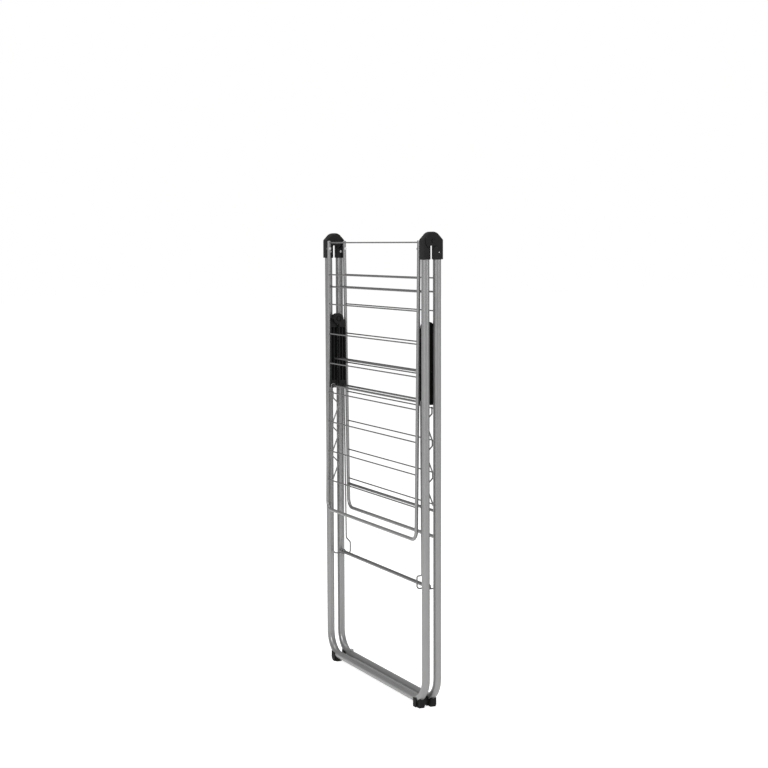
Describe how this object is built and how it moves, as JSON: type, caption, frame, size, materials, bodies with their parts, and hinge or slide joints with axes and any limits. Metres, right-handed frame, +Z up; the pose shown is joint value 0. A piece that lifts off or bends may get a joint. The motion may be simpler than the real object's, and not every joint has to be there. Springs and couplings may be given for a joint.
{
  "type": "folding drying rack",
  "caption": "Free-standing folding drying rack, folded flat: bent tube legs hinged at the top, hanging wings of rungs, and a low hanging rod.",
  "frame": {"origin": "on the floor, midway between the four feet of the folded rack", "axes": "+X along the rungs, +Z up, -Y is the front of the folded rack"},
  "size_m": [0.6662, 0.0804, 1.3],
  "materials": {
    "tube": "satin silver",
    "rail": "satin silver",
    "rod": "satin",
    "wire": "satin",
    "fastener": "satin",
    "plastic": "fine grained"
  },
  "bodies": {
    "hinge_pins": {"left_hinge_pin": "plastic", "right_hinge_pin": "plastic"},
    "front_leg": {"front_leg_tube": "tube", "front_left_cap": "plastic", "front_right_cap": "plastic", "front_cap_rivets": "fastener", "front_top_rod": "rod", "front_pivot_rod": "rod", "front_left_foot": "plastic", "front_right_foot": "plastic", "front_wing_pins": "fastener"},
    "front_wing": {"front_wing_rail": "rail", "front_wing_rung_1": "rod", "front_wing_rung_2": "rod", "front_wing_rung_3": "rod", "front_wing_rung_4": "rod", "front_wing_rung_5": "rod", "front_wing_rung_6": "rod", "front_wing_rung_7": "rod", "front_wing_rung_8": "rod", "front_wing_rung_9": "rod", "front_wing_zigzag": "wire"},
    "front_spreader": {"front_left_arm": "plastic", "front_right_arm": "plastic", "front_arm_link_rod": "rod"},
    "front_hanger": {"front_left_hanger_wire": "wire", "front_right_hanger_wire": "wire"},
    "back_leg": {"back_leg_tube": "tube", "back_left_cap": "plastic", "back_right_cap": "plastic", "back_cap_rivets": "fastener", "back_top_rod": "rod", "back_pivot_rod": "rod", "back_left_foot": "plastic", "back_right_foot": "plastic", "back_wing_pins": "fastener", "back_rail_bumper": "tube"},
    "back_wing": {"back_wing_rail": "rail", "back_wing_rung_1": "rod", "back_wing_rung_2": "rod", "back_wing_rung_3": "rod", "back_wing_rung_4": "rod", "back_wing_rung_5": "rod", "back_wing_rung_6": "rod", "back_wing_rung_7": "rod", "back_wing_rung_8": "rod", "back_wing_rung_9": "rod", "back_wing_zigzag": "wire", "back_wing_lower_rod": "rod"},
    "back_spreader": {"back_left_arm": "plastic", "back_right_arm": "plastic", "back_arm_link_rod": "rod"},
    "back_hanger": {"back_left_hanger_wire": "wire", "back_right_hanger_wire": "wire"},
    "hanging_rod": {"hanging_rod": "rod"}
  },
  "joints": [
    {"name": "front_leg_hinge", "type": "hinge", "parent": "hinge_pins", "child": "front_leg", "pos_m": [0, 0, 1.2755], "axis": [-1, 0, 0], "range_deg": [0, 25.4]},
    {"name": "back_leg_hinge", "type": "hinge", "parent": "hinge_pins", "child": "back_leg", "pos_m": [0, 0, 1.2755], "axis": [1, 0, 0], "range_deg": [0, 25.4]},
    {"name": "front_wing_hinge", "type": "hinge", "parent": "front_leg", "child": "front_wing", "pos_m": [0, -0.0255, 1.254], "axis": [-1, 0, 0], "range_deg": [0, 63.8]},
    {"name": "back_wing_hinge", "type": "hinge", "parent": "back_leg", "child": "back_wing", "pos_m": [0, 0.0255, 1.254], "axis": [1, 0, 0], "range_deg": [0, 63.8]},
    {"name": "front_spreader_pivot", "type": "hinge", "parent": "front_leg", "child": "front_spreader", "pos_m": [0, -0.0175, 0.842], "axis": [-1, 0, 0], "range_deg": [0, 55.6]},
    {"name": "back_spreader_pivot", "type": "hinge", "parent": "back_leg", "child": "back_spreader", "pos_m": [0, 0.0175, 0.842], "axis": [1, 0, 0], "range_deg": [0, 55.6]},
    {"name": "front_hanger_pivot", "type": "hinge", "parent": "front_leg", "child": "front_hanger", "pos_m": [0, -0.0175, 0.842], "axis": [1, 0, 0], "range_deg": [0, 47.6]},
    {"name": "back_hanger_pivot", "type": "hinge", "parent": "back_leg", "child": "back_hanger", "pos_m": [0, 0.0175, 0.842], "axis": [-1, 0, 0], "range_deg": [0, 47.7]},
    {"name": "hanging_rod_spin", "type": "hinge", "parent": "front_hanger", "child": "hanging_rod", "pos_m": [0, 0.005, 0.335], "axis": [1, 0, 0], "continuous": true}
  ],
  "couplings": [
    {"joint": "back_leg_hinge", "follows": "front_leg_hinge", "ratio": 1},
    {"joint": "front_spreader_pivot", "follows": "front_leg_hinge", "ratio": 2.1882},
    {"joint": "back_spreader_pivot", "follows": "front_leg_hinge", "ratio": 2.1882},
    {"joint": "front_hanger_pivot", "follows": "front_leg_hinge", "ratio": 1.825},
    {"joint": "back_hanger_pivot", "follows": "front_leg_hinge", "ratio": 1.87}
  ]
}
